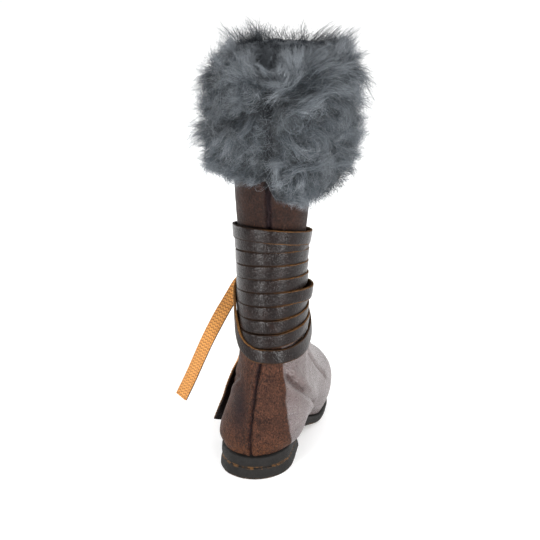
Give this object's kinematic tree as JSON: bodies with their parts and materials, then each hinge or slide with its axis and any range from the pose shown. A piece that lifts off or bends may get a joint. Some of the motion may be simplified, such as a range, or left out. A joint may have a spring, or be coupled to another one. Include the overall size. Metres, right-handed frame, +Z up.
{
  "type": "leather boot",
  "caption": "Doll-size leather boot with a low heel, a strap wound round the ankle and a deep fur cuff at the top of the shaft.",
  "frame": {"origin": "centre of the heel's flat underside", "axes": "+Z up, +Y towards the toe, +X towards the outer side of the foot"},
  "size_m": [0.042, 0.0614, 0.0961],
  "materials": {
    "sole": "matte near-black sole sheet, dusty at the edges",
    "lining": "matte tan knitted backing",
    "upper_leather": "speckled brown leather, satin, rubbed paler on the sides",
    "strap_leather": "glossy wrinkled dark brown leather",
    "strap_backing": "matte ochre knitted backing",
    "fur": "long grey pile"
  },
  "bodies": {
    "root": {"outsole": "sole", "heel_lift": "sole", "insole": "lining", "upper": "upper_leather", "strap_wraps": "strap_leather", "strap_knot": "strap_leather", "strap_end_tan": "strap_backing", "strap_end_dark": "strap_leather", "fur_cuff": "fur"}
  },
  "joints": []
}
